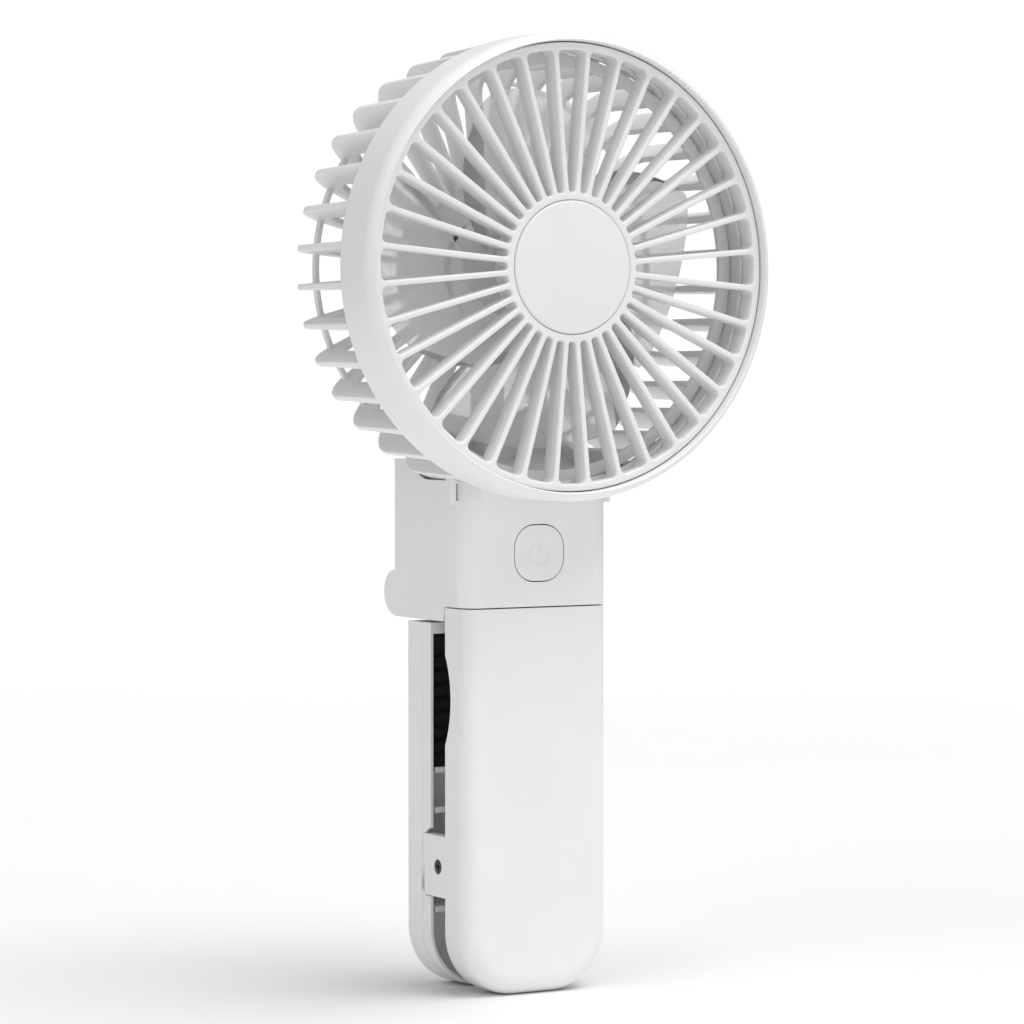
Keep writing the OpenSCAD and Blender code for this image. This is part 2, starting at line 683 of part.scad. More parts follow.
// A point on a blade: i runs from root to tip and j from the front edge to the rear edge
function blade_point(i, j, face) = let (
        s = i / blade_rows,
        u = j / blade_cols,
        r = blade_root_r + (blade_tip_r - corner_cut(u) - blade_root_r) * s,
        a = front_edge(s) + (rear_edge(s) - front_edge(s)) * u,
        depth = blade_front + blade_depth * (1 - pow(1 - u, 1.8)))
    [r * cos(a), r * sin(a), depth + face * blade_t / 2];
module blade() {
    n = blade_cols + 1;
    count = (blade_rows + 1) * n;
    points = [for (face = [-1, 1], i = [0:blade_rows], j = [0:blade_cols]) blade_point(i, j, face)];
    low = [for (i = [0:blade_rows - 1], j = [0:blade_cols - 1], t = [0, 1])
        t == 0 ? [i * n + j, (i + 1) * n + j, (i + 1) * n + j + 1]
            : [i * n + j, (i + 1) * n + j + 1, i * n + j + 1]];
    high = [for (f = low) [f[2] + count, f[1] + count, f[0] + count]];
    rim = concat([for (j = [0:blade_cols - 1]) [j, j + 1]],
        [for (i = [0:blade_rows - 1]) [i * n + blade_cols, (i + 1) * n + blade_cols]],
        [for (j = [blade_cols:-1:1]) [blade_rows * n + j, blade_rows * n + j - 1]],
        [for (i = [blade_rows:-1:1]) [i * n, (i - 1) * n]]);
    polyhedron(points, concat(low, high, [for (e = rim) [e[0], e[1], e[1] + count, e[0] + count]]));
}
module impeller() color("#f4f6f8") on_axis() {
    difference() {
        union() {
            translate([0, 0, fan_front + 2]) cylinder(r = fan_hub_r, h = fan_rear - fan_front - 2);
            translate([0, 0, fan_front]) cylinder(r = fan_hub_r - 2, h = 3);
            translate([0, 0, fan_front + 2]) rotate_extrude() translate([fan_hub_r - 2, 0]) circle(2);
        }
        translate([0, 0, fan_front + 2.2]) cylinder(r = bell_r, h = 30);
    }
    difference() {
        translate([0, 0, fan_front + 2]) cylinder(r = 3, h = bell_front - fan_front - 2.1);
        translate([0, 0, fan_front + 2.5]) cylinder(r = shaft_r, h = 12);
    }
    for (k = [0:blade_count - 1]) rotate([0, 0, k * 360 / blade_count]) blade();
}

front_shell();
rear_cover();
battery_cell();
charge_board();
usb_socket();
battery_leads();
cover_screws();
pivot_pin();
pivot_screws();
torsion_spring();
clip_cover();
clip_frame();
grip_pad();
hinge_pin();
friction_washers();
neck_housing();
neck_rear_cover();
neck_screws();
main_board();
board_components();
tact_switch();
switch_plunger();
power_button();
ring_cage();
front_grille();
hub_cap();
motor_base();
motor_screws();
bearings();
stator_core();
coils();
driver_board();
motor_leads();
rotor_bell();
magnet_ring();
shaft();
impeller();
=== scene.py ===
"""A folding handheld fan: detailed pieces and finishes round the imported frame, with a studio and a camera.

The fan's own pieces are drawn in millimetres, as a radius and an angle round the fan's axis and a depth
behind the plane of the seam round its front grille, and are turned into metres as their meshes are made.
"""

import json
import math

import bmesh
import bpy
from mathutils import Matrix, Vector


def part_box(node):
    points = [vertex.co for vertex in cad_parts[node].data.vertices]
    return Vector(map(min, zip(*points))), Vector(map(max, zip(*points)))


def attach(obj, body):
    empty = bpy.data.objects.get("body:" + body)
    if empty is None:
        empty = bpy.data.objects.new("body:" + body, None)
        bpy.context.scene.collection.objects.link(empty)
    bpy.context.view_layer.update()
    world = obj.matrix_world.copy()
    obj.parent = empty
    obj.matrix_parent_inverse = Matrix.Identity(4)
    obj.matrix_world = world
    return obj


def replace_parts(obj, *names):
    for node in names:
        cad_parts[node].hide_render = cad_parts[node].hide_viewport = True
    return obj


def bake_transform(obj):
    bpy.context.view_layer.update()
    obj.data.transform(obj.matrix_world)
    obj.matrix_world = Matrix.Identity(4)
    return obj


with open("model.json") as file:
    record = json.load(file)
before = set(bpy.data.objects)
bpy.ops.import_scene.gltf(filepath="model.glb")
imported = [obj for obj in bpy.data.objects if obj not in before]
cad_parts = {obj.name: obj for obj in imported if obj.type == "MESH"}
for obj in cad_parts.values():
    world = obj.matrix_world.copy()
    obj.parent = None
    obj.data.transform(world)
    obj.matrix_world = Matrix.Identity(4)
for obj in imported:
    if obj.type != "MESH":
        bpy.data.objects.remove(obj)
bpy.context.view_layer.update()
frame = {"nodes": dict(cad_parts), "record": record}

MM = 0.001

# Where the frame puts the fan's axis, the seam's plane and the power button's height
grille_low, grille_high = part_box("front_grille")
RING_Z = (grille_low.z + grille_high.z) / 2
SEAM_Y = grille_low.y
button_low, button_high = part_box("power_button")
BUTTON_Z = (button_low.z + button_high.z) / 2

# The front grille and the band round it
RIM_R = 49.85
HUB_RING_R = 16.5
CAP_R = 14.85
SLOT_OUTER_R = 48.2
SPOKE_COUNT = 36
SPOKE_W = 1.25
GRILLE_DEPTH = 5.0
BAND_R = 52.2
BAND_INNER_R = 47.6
BAND_FRONT = -2.2
BAND_REAR = 11.9

# The rear cage
CAGE_FRONT_R = 51.9
CAGE_R = 51.0
CAGE_REAR = 42.5
CAGE_CORNER = 10.0
FLANGE_R = 45.5
FIN_INNER_R = 45.3
FIN_INNER_CORNER = 6.0
FIN_REAR_REACH = 7.0
FIN_FRONT_W = 1.8
FIN_REAR_W = 1.2
HOOP_R = 43.9
HOOP_HALF_T = 0.6
HOOP_FRONT = 38.7
HOOP_REAR = 40.3
DISC_R = 22.0
DISC_FRONT = 38.5
DISC_REAR = 41.2
PATCH_HALF_ANGLE = math.radians(24.5)
SCREW_CIRCLE_R = 8.5

# The impeller
HUB_R = 14.0
HUB_FRONT = 7.3
HUB_REAR = 31.0
BLADE_COUNT = 4
BLADE_ROOT_R = 13.2
BLADE_TIP_R = 40.8
BLADE_FRONT = 10.2
BLADE_DEPTH = 15.3
BLADE_T = 1.0


# ---- Places and outlines ----


def fan_point(r, angle, depth):
    """A point given round the fan's axis in millimetres and radians, in metres in the frame."""
    return Vector((r * math.cos(angle) * MM, SEAM_Y + depth * MM, RING_Z + r * math.sin(angle) * MM))


def arc(centre, radius, start, end, steps):
    """Points along an arc, its angles in radians."""
    return [
        (
            centre[0] + radius * math.cos(start + (end - start) * k / steps),
            centre[1] + radius * math.sin(start + (end - start) * k / steps),
        )
        for k in range(steps + 1)
    ]


def rounded(corners, steps=5):
    """A closed outline through (x, y, radius) corners, each turned into an arc of its radius."""
    outline = []
    for i, (x, y, radius) in enumerate(corners):
        here = Vector((x, y))
        if radius == 0:
            outline.append((x, y))
            continue
        before = (Vector(corners[i - 1][:2]) - here).normalized()
        after = (Vector(corners[(i + 1) % len(corners)][:2]) - here).normalized()
        half = before.angle(after) / 2
        centre = here + (before + after).normalized() * radius / math.sin(half)
        start = here + before * radius / math.tan(half) - centre
        end = here + after * radius / math.tan(half) - centre
        turn = start.angle(end)
        for k in range(steps + 1):
            t = k / steps
            p = (start * math.sin((1 - t) * turn) + end * math.sin(t * turn)) / math.sin(turn)
            outline.append((centre.x + p.x, centre.y + p.y))
    return outline


def circle(radius, steps, centre=(0, 0)):
    return [
        (
            centre[0] + radius * math.cos(2 * math.pi * k / steps),
            centre[1] + radius * math.sin(2 * math.pi * k / steps),
        )
        for k in range(steps)
    ]


# ---- Mesh building ----


class Shape:
    """Closed shells that are gathered into one mesh."""

    def __init__(self):
        self.verts = []
        self.faces = []

    def loft(self, rings, loop=False):
        """Joins rings of points into a tube, which either closes on itself or is capped."""
        base, n, count = len(self.verts), len(rings[0]), len(rings)
        for ring in rings:
            self.verts.extend(ring)
        for i in range(count if loop else count - 1):
            for j in range(n):
                k, m = (j + 1) % n, (i + 1) % count
                self.faces.append([base + i * n + j, base + i * n + k, base + m * n + k, base + m * n + j])
        if not loop:
            self.faces.append([base + j for j in range(n)])
            self.faces.append([base + (count - 1) * n + j for j in range(n)])

    def lathe(self, profile, steps=180):
        """Turns a closed profile of (radius, depth) points round the fan's axis."""
        turn = 2 * math.pi / steps
        self.loft([[fan_point(r, k * turn, d) for r, d in profile] for k in range(steps)], loop=True)

    def disc(self, profile, steps=180):
        """Turns an open profile round the fan's axis; its first and last points lie on the axis."""
        base, turn, n = len(self.verts), 2 * math.pi / steps, len(profile) - 2
        ends = base + steps * n
        for k in range(steps):
            self.verts.extend(fan_point(r, k * turn, d) for r, d in profile[1:-1])
        self.verts.extend(fan_point(0, 0, d) for d in (profile[0][1], profile[-1][1]))
        for k in range(steps):
            a, b = base + k * n, base + (k + 1) % steps * n
            self.faces.extend([a + j, a + j + 1, b + j + 1, b + j] for j in range(n - 1))
            self.faces.append([ends, a, b])
            self.faces.append([ends + 1, b + n - 1, a + n - 1])

    def piece(self, name, body, slot, smooth=35):
        """Makes one piece of the gathered shells."""
        mesh = bpy.data.meshes.new(name)
        mesh.from_pydata(self.verts, [], self.faces)
        return finished(mesh, name, body, slot, smooth)


def finished(mesh, name, body, slot, smooth=35):
    """Cleans a mesh in metres, shades it, and puts it on its body with its slot's finish."""
    work = bmesh.new()
    work.from_mesh(mesh)
    bmesh.ops.remove_doubles(work, verts=work.verts, dist=1e-6)
    bmesh.ops.recalc_face_normals(work, faces=work.faces)
    work.to_mesh(mesh)
    work.free()
    mesh.polygons.foreach_set("use_smooth", [True] * len(mesh.polygons))
    mesh.set_sharp_from_angle(angle=math.radians(smooth))
    mesh.materials.append(FINISHES[slot])
    piece = bpy.data.objects.new(name, mesh)
    bpy.context.scene.collection.objects.link(piece)
    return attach(piece, body)


def meshed(curve):
    """The mesh that a curve makes; the curve itself is removed."""
    holder = bpy.data.objects.new(curve.name, curve)
    bpy.context.scene.collection.objects.link(holder)
    bpy.context.view_layer.update()
    mesh = bpy.data.meshes.new_from_object(holder.evaluated_get(bpy.context.evaluated_depsgraph_get()))
    bpy.data.objects.remove(holder)
    bpy.data.curves.remove(curve)
    return mesh


def plate(outlines, front, thickness, edge, place):
    """A mesh of a flat plate with holes: the first outline is its border and the rest are its holes.

    Its outlines are seen from the front and stand at the height place. Its front face lies at the depth
    front behind the seam's plane.
    """
    curve = bpy.data.curves.new("plate", "CURVE")
    curve.dimensions = "2D"
    curve.fill_mode = "BOTH"
    curve.extrude = thickness / 2 - edge
    curve.bevel_depth = edge
    curve.bevel_resolution = 3
    curve.offset = -edge
    for outline in outlines:
        spline = curve.splines.new("POLY")
        spline.points.add(len(outline) - 1)
        for point, (x, y) in zip(spline.points, outline):
            point.co = (x, y, 0, 1)
        spline.use_cyclic_u = True
    mesh = meshed(curve)
    depth = SEAM_Y + (front + thickness / 2) * MM
    stand = Matrix.Rotation(math.pi / 2, 4, "X")
    mesh.transform(Matrix.Translation((0, depth, place)) @ stand @ Matrix.Scale(MM, 4))
    return mesh


# ---- Finishes ----


def principled(name):
    material = bpy.data.materials.new(name)
    material.use_nodes = True
    tree = material.node_tree
    return material, tree, tree.nodes["Principled BSDF"]


def noise(tree, scale, detail=3.0, roughness=0.5):
    """A noise texture in the object's own space, so that it holds still as bodies move."""
    place = tree.nodes.new("ShaderNodeTexCoord")
    texture = tree.nodes.new("ShaderNodeTexNoise")
    texture.inputs["Scale"].default_value = scale
    texture.inputs["Detail"].default_value = detail
    texture.inputs["Roughness"].default_value = roughness
    tree.links.new(place.outputs["Object"], texture.inputs["Vector"])
    return texture


def spread(tree, source, low, high, target):
    """Turns the middle of a texture's range into low to high on a socket."""
    remap = tree.nodes.new("ShaderNodeMapRange")
    remap.inputs["From Min"].default_value = 0.3
    remap.inputs["From Max"].default_value = 0.7
    remap.inputs["To Min"].default_value = low
    remap.inputs["To Max"].default_value = high
    tree.links.new(source, remap.inputs["Value"])
    tree.links.new(remap.outputs["Result"], target)


def tinted(tree, source, dark, light, target):
    """Mixes two colours by a texture."""
    ramp = tree.nodes.new("ShaderNodeValToRGB")
    ramp.color_ramp.elements[0].position = 0.35
    ramp.color_ramp.elements[0].color = (*dark, 1)
    ramp.color_ramp.elements[1].position = 0.65
    ramp.color_ramp.elements[1].color = (*light, 1)
    tree.links.new(source, ramp.inputs["Fac"])
    tree.links.new(ramp.outputs["Color"], target)


def bumped(tree, shader, height, strength, distance):
    bump = tree.nodes.new("ShaderNodeBump")
    bump.inputs["Strength"].default_value = strength
    bump.inputs["Distance"].default_value = distance
    tree.links.new(height, bump.inputs["Height"])
    tree.links.new(bump.outputs["Normal"], shader.inputs["Normal"])


def moulded(name, dark, light, roughness, grain, bump):
    """Moulded plastic: an even colour with a faint cloud, an uneven sheen and a fine grain."""
    material, tree, shader = principled(name)
    cloud = noise(tree, 60, 2.0)
    fine = noise(tree, grain, 4.0, 0.6)
    tinted(tree, cloud.outputs["Fac"], dark, light, shader.inputs["Base Color"])
    spread(tree, fine.outputs["Fac"], roughness - 0.04, roughness + 0.05, shader.inputs["Roughness"])
    bumped(tree, shader, fine.outputs["Fac"], bump, 0.00004)
    shader.inputs["Specular IOR Level"].default_value = 0.45
    return material, shader


def white_plastic():
    material, shader = moulded("white_plastic", (0.84, 0.84, 0.84), (0.86, 0.86, 0.86), 0.42, 5200, 0.12)
    shader.inputs["Subsurface Weight"].default_value = 0.08
    shader.inputs["Subsurface Radius"].default_value = (0.0012, 0.0012, 0.0012)
    shader.inputs["Subsurface Scale"].default_value = 1.0
    return material


def fan_plastic():
    """Frosted plastic thin enough to glow on its shaded side and to show faintly what lies behind it."""
    material, shader = moulded("fan_plastic", (0.92, 0.92, 0.92), (0.95, 0.95, 0.95), 0.34, 3000, 0.08)
    shader.inputs["Alpha"].default_value = 0.5
    shader.inputs["Subsurface Weight"].default_value = 0.9
    shader.inputs["Subsurface Radius"].default_value = (0.004, 0.004, 0.004)
    shader.inputs["Subsurface Scale"].default_value = 1.0
    return material


def rubber():
    material, tree, shader = principled("rubber")
    fine = noise(tree, 2600, 4.0, 0.7)
    dark, light = (0.004, 0.004, 0.004), (0.012, 0.012, 0.012)
    tinted(tree, fine.outputs["Fac"], dark, light, shader.inputs["Base Color"])
    spread(tree, fine.outputs["Fac"], 0.72, 0.86, shader.inputs["Roughness"])
    bumped(tree, shader, fine.outputs["Fac"], 0.25, 0.0001)
    shader.inputs["Specular IOR Level"].default_value = 0.25
    return material


def metal(name, dark, light, roughness, grain=900):
    """Machined or drawn metal with fine streaks."""
    material, tree, shader = principled(name)
    streaks = noise(tree, grain, 5.0, 0.65)
    tinted(tree, streaks.outputs["Fac"], dark, light, shader.inputs["Base Color"])
    spread(tree, streaks.outputs["Fac"], roughness - 0.06, roughness + 0.08, shader.inputs["Roughness"])
    bumped(tree, shader, streaks.outputs["Fac"], 0.1, 0.00003)
    shader.inputs["Metallic"].default_value = 1.0
    return material


def board():
    """Green solder mask over faintly raised tracks."""
    material, tree, shader = principled("board")
    place = tree.nodes.new("ShaderNodeTexCoord")
    tracks = tree.nodes.new("ShaderNodeTexBrick")
    tracks.inputs["Scale"].default_value = 420
    tracks.inputs["Mortar Size"].default_value = 0.03
    tracks.inputs["Color1"].default_value = (0.02, 0.12, 0.06, 1)
    tracks.inputs["Color2"].default_value = (0.025, 0.14, 0.07, 1)
    tracks.inputs["Mortar"].default_value = (0.05, 0.22, 0.1, 1)
    tree.links.new(place.outputs["Object"], tracks.inputs["Vector"])
    tree.links.new(tracks.outputs["Color"], shader.inputs["Base Color"])
    bumped(tree, shader, tracks.outputs["Fac"], 0.3, 0.00003)
    shader.inputs["Roughness"].default_value = 0.32
    return material


def moulded_finish(name, dark, light, roughness):
    return moulded(name, dark, light, roughness, 3600, 0.1)[0]


FINISHES = {
    "white_plastic": white_plastic(),
    "fan_plastic": fan_plastic(),
    "rubber": rubber(),
    "steel": metal("steel", (0.5, 0.51, 0.53), (0.66, 0.67, 0.69), 0.3),
    "dark_screw": metal("dark_screw", (0.05, 0.05, 0.055), (0.1, 0.1, 0.11), 0.42),
    "brass": metal("brass", (0.66, 0.5, 0.22), (0.8, 0.64, 0.32), 0.32),
    "board": board(),
    "black_plastic": moulded_finish("black_plastic", (0.012, 0.012, 0.012), (0.02, 0.02, 0.02), 0.5),
    "core_steel": metal("core_steel", (0.22, 0.23, 0.25), (0.34, 0.35, 0.37), 0.5, 1500),
    "magnet": metal("magnet", (0.1, 0.1, 0.11), (0.17, 0.17, 0.18), 0.55, 1800),
    "enamelled_wire": metal("enamelled_wire", (0.55, 0.22, 0.07), (0.72, 0.34, 0.14), 0.28),
    "lead_insulation": moulded_finish("lead_insulation", (0.5, 0.03, 0.02), (0.6, 0.05, 0.03), 0.38),
    "cell_foil": metal("cell_foil", (0.5, 0.52, 0.55), (0.68, 0.7, 0.72), 0.34, 500),
}


# ---- The head ----


def front_grille():
    """One flat moulding: a rim and a hub ring, with spokes left between slots that have round corners."""
    half_pitch = math.pi / SPOKE_COUNT
    inner_x, outer_x = HUB_RING_R + 0.1, SLOT_OUTER_R
    inner_corner, outer_corner = 0.7, 1.3
    collar_inner_r, collar_outer_r = 12.5, 16.4
    collar_front, collar_rear = 4.9, 6.2

    def side(x):
        """Half a slot's width at a distance x from the axis."""
        return x * math.tan(half_pitch) - SPOKE_W / 2 / math.cos(half_pitch)

    slot = rounded(
        [
            (inner_x, -side(inner_x), inner_corner),
            (outer_x, -side(outer_x), outer_corner),
            (outer_x, side(outer_x), outer_corner),
            (inner_x, side(inner_x), inner_corner),
        ]
    )
    outlines = [circle(RIM_R, 216), circle(CAP_R + 0.12, 144)]
    for k in range(SPOKE_COUNT):
        c, s = math.cos(2 * k * half_pitch), math.sin(2 * k * half_pitch)
        outlines.append([(x * c - y * s, x * s + y * c) for x, y in slot])
    mesh = plate(outlines, 0, GRILLE_DEPTH, 0.42, RING_Z)
    piece = finished(mesh, "grille_moulding", "head", "white_plastic")
    ring = Shape()
    ring.lathe(
        rounded(
            [
                (collar_inner_r, collar_front, 0),
                (collar_outer_r, collar_front, 0),
                (collar_outer_r, collar_rear, 0.3),
                (collar_inner_r, collar_rear, 0.3),
            ]
        )
    )
    collar = ring.piece("grille_collar", "head", "white_plastic")
    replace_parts(piece, "front_grille")
    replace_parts(collar, "front_grille")


def hub_cap():
    """The smooth cap in the middle of the grille, slightly domed, with a round edge."""
    dome = 0.9
    edge_rise = 0.25
    edge_r = 0.55
    skirt = 1.4
    skirt_end = GRILLE_DEPTH - 0.1
    inside = 1.6
    crown_r = CAP_R - edge_r
    crown = [crown_r * k / 12 for k in range(13)]
    profile = [(r, -dome + (dome - edge_rise) * (r / crown_r) ** 2) for r in crown]
    profile += [
        (crown_r + edge_r * math.sin(a), -edge_rise + edge_r * (1 - math.cos(a)))
        for a in (math.radians(15 * k) for k in range(1, 7))
    ]
    profile += [(CAP_R, skirt_end), (CAP_R - skirt, skirt_end), (CAP_R - skirt, inside), (0, inside)]
    shape = Shape()
    shape.disc(profile)
    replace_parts(shape.piece("hub_cap_moulding", "head", "white_plastic"), "hub_cap")


def band_profile():
    """The band's section, with a broad round front and small round edges."""
    edge_r = 4.0
    centre_r = BAND_R - edge_r
    seam_r = 50.1
    rise = math.sqrt(edge_r**2 - (seam_r - centre_r) ** 2)
    centre = (centre_r, BAND_FRONT + rise)
    start = math.acos((seam_r + 0.3 - centre_r) / edge_r)
    front = arc(centre, edge_r, -start, 0, 12)
    lip = (seam_r, front[0][1] + 0.35)
    rear = rounded([(BAND_R, BAND_REAR - 2, 0), (BAND_R, BAND_REAR, 0.3), (BAND_INNER_R, BAND_REAR, 0.3)])
    return [lip, *front, *rear, (BAND_INNER_R, GRILLE_DEPTH + 0.1), (seam_r, GRILLE_DEPTH + 0.1)]


def fin_stations():
    """Places along a fin, each as the inner and the outer (radius, depth) point of its section."""
    start = BAND_REAR - 1.0
    bend_depth = CAGE_REAR - CAGE_CORNER
    inner_rear = CAGE_REAR - FIN_REAR_REACH
    places = []
    for t in (0.0, 0.25, 0.5, 0.75):
        depth = start + (bend_depth - start) * t
        outer_r = CAGE_FRONT_R + (CAGE_R - CAGE_FRONT_R) * t
        places.append(((FIN_INNER_R, min(depth, inner_rear - FIN_INNER_CORNER)), (outer_r, depth)))
    for a in (math.pi / 2 * k / 12 for k in range(13)):
        inner = (
            FIN_INNER_R - FIN_INNER_CORNER * (1 - math.cos(a)),
            inner_rear - FIN_INNER_CORNER * (1 - math.sin(a)),
        )
        outer = (CAGE_R - CAGE_CORNER * (1 - math.cos(a)), CAGE_REAR - CAGE_CORNER * (1 - math.sin(a)))
        places.append((inner, outer))
    places += [((r, inner_rear), (r, CAGE_REAR)) for r in (36.0, 31.0, 26.0, DISC_R - 1.4)]
    return places


def station(inner, outer, angle, half_w):
    """A round-cornered ring of points across a fin, from its inner edge to its outer one."""
    length = math.dist(inner, outer)
    step = ((outer[0] - inner[0]) / length, (outer[1] - inner[1]) / length)
    inner_edge, outer_edge = 0.25, 0.3
    section = rounded(
        [
            (0, -half_w, inner_edge),
            (length, -half_w, outer_edge),
            (length, half_w, outer_edge),
            (0, half_w, inner_edge),
        ],
        3,
    )
    return [
        fan_point(inner[0] + across * step[0], angle, inner[1] + across * step[1]) + side_step(angle, side)
        for across, side in section
    ]


def fin(shape, angle):
    """One fin of the cage: a thin plate that runs back from the band and turns in at the rear."""
    rings = []
    for inner, outer in fin_stations():
        t = (outer[1] - BAND_REAR) / (CAGE_REAR - BAND_REAR)
        width = FIN_FRONT_W + (FIN_REAR_W - FIN_FRONT_W) * min(max(t, 0), 1)
        rings.append(station(inner, outer, angle, width / 2))
    shape.loft(rings)


def duct(shape):
    """The wide, deep fin over the neck that carries the motor's leads up to the rear disc."""
    front, inset, half_w = 35.2, 0.6, 2.7
    bend_r, bend_depth = CAGE_R - CAGE_CORNER, CAGE_REAR - CAGE_CORNER
    rings = []
    for r in (48.3, 47.0, 45.0, 43.0, bend_r, 36.0, 30.0, 25.0, DISC_R - 0.8):
        rear = bend_depth + math.sqrt((CAGE_CORNER - inset) ** 2 - max(0.0, r - bend_r) ** 2)
        rings.append(station((r, front), (r, rear), 1.5 * math.pi, half_w))
    shape.loft(rings)


def side_step(angle, distance):
    """A step at right angles to a radius of the fan."""
    return Vector((-math.sin(angle), 0, math.cos(angle))) * distance * MM


def patch_section():
    """The section of the cage's closed underside: a thin wall that turns inwards at the rear."""
    start, edge_r = 8.0, 34.0
    outer_inset, inner_inset = 0.25, 2.1

    def wall(inset):
        r, rear = CAGE_R - inset, CAGE_REAR - inset
        bend = arc((r - CAGE_CORNER, rear - CAGE_CORNER), CAGE_CORNER, 0, math.pi / 2, 10)
        front_r = CAGE_FRONT_R - 0.1 - inset
        return [(front_r, start), (front_r, BAND_REAR), *bend, (edge_r, rear)]

    return wall(outer_inset) + wall(inner_inset)[::-1]


def ring_band():
    """The band round the grille, with a flange inside its rear edge."""
    band = Shape()
    band.lathe(band_profile(), 216)
    flange_front, flange_rear = BAND_REAR - 1.6, BAND_REAR - 0.1
    flange_outer_r = BAND_INNER_R + 0.5
    band.lathe(
        rounded(
            [
                (FLANGE_R, flange_front, 0.3),
                (flange_outer_r, flange_front, 0),
                (flange_outer_r, flange_rear, 0),
                (FLANGE_R, flange_rear, 0.3),
            ]
        ),
        216,
    )
    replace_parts(band.piece("ring_band", "head", "white_plastic"), "ring_cage")


def rear_cage():
    """The cage behind the band: fins, a hoop, and a closed underside with a duct over the neck."""
    cage = Shape()
    for k in range(SPOKE_COUNT):
        angle = (k + 0.5) * 2 * math.pi / SPOKE_COUNT
        if abs(angle - 1.5 * math.pi) > PATCH_HALF_ANGLE:
            fin(cage, angle)
    hoop = [
        (HOOP_R - HOOP_HALF_T, HOOP_FRONT),
        (HOOP_R + HOOP_HALF_T, HOOP_FRONT),
        (HOOP_R + HOOP_HALF_T, HOOP_REAR),
        (HOOP_R - HOOP_HALF_T, HOOP_REAR),
    ]
    cage.lathe(rounded([(r, depth, 0.3) for r, depth in hoop]))
    steps = 24
    underside = [1.5 * math.pi + PATCH_HALF_ANGLE * (2 * k / steps - 1) for k in range(steps + 1)]
    cage.loft([[fan_point(r, a, d) for r, d in patch_section()] for a in underside])
    duct(cage)
    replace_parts(cage.piece("rear_cage", "head", "white_plastic"), "ring_cage")


def rear_disc():
    """The disc in the middle of the cage, with a face that has three screw holes."""
    face_t, inset = 1.2, 0.2
    screw_hole_r = 2.1
    screw_holes = [
        circle(screw_hole_r, 32, (SCREW_CIRCLE_R * math.cos(a), SCREW_CIRCLE_R * math.sin(a)))
        for a in (math.pi / 2 + 2 * math.pi * k / 3 for k in range(3))
    ]
    face = plate([circle(DISC_R, 144), *screw_holes], CAGE_REAR - inset - face_t, face_t, 0.3, RING_Z)
    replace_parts(finished(face, "rear_disc_face", "head", "white_plastic"), "ring_cage")
    disc = Shape()
    chamfer = 0.4
    disc.disc(
        [
            (0, DISC_FRONT),
            (DISC_R - chamfer, DISC_FRONT),
            (DISC_R, DISC_FRONT + chamfer),
            (DISC_R, DISC_REAR),
            (0, DISC_REAR),
        ]
    )
    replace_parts(disc.piece("rear_disc", "head", "white_plastic"), "ring_cage")


# ---- The impeller ----


def front_edge(s):
    """The angle of a blade's front edge, from its root at s = 0 to its tip at s = 1."""
    tip, sweep = 25.6, 59.4
    return math.radians(tip + sweep * (1 - s))


def rear_edge(s):
    """The angle of its rear edge, which bows out between root and tip and is drawn in at the root."""
    tip, bow, root = -34, 8, 22
    return math.radians(tip - bow * s * (1 - s) + root * (1 - s) ** 3)


def blade_point(s, u, face):
    """A point on a blade: s runs from root to tip, u from the front edge to the rear one.

    Its face is 1 on the rear face, -1 on the front face, and less where the blade thins out.
    """
    corner_drop = 0.7
    tip = BLADE_TIP_R - corner_drop * abs(2 * u - 1) ** 10
    r = BLADE_ROOT_R + (tip - BLADE_ROOT_R) * s
    angle = front_edge(s) + (rear_edge(s) - front_edge(s)) * u
    depth = BLADE_FRONT + BLADE_DEPTH * (1 - (1 - u) ** 1.8)
    return r, angle, depth + face * BLADE_T / 2


def thinning(s, u):
    """The share of a blade's thickness that is left at a point, which falls off at its tip and edges."""
    tip = math.sqrt(max(0.0, 1 - s**24))
    edges = math.sqrt(max(0.0, 1 - abs(2 * u - 1) ** 40))
    return max(0.12, tip * edges)


def blades(shape):
    """Every blade, as a closed shell round its two faces."""
    rows, cols = 26, 40
    for k in range(BLADE_COUNT):
        turn = 2 * math.pi * k / BLADE_COUNT
        rings = []
        for j in range(cols + 1):
            u = 0.5 - 0.5 * math.cos(math.pi * j / cols)
            ring = []
            for face in (1, -1):
                order = range(rows + 1) if face > 0 else range(rows, -1, -1)
                for i in order:
                    s = math.sin(math.pi / 2 * i / rows)
                    r, angle, depth = blade_point(s, u, face * thinning(s, u))
                    ring.append(fan_point(r, angle + turn, depth))
            rings.append(ring)
        shape.loft(rings)


def impeller():
    hub = Shape()
    edge_r = 2
    edge = [
        (HUB_R - edge_r + edge_r * math.sin(a), HUB_FRONT + edge_r * (1 - math.cos(a)))
        for a in (math.radians(15 * k) for k in range(7))
    ]
    inner_r = HUB_R - 1.8
    inside = HUB_FRONT + 2.2
    inner = [(inner_r, HUB_REAR), (inner_r, inside), (0, inside)]
    hub.disc([(0, HUB_FRONT), *edge, (HUB_R, HUB_REAR), *inner])
    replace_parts(hub.piece("impeller_hub", "rotor", "fan_plastic"), "impeller")
    shape = Shape()
    blades(shape)
    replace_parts(shape.piece("impeller_blades", "rotor", "fan_plastic", 50), "impeller")


# ---- The power button ----


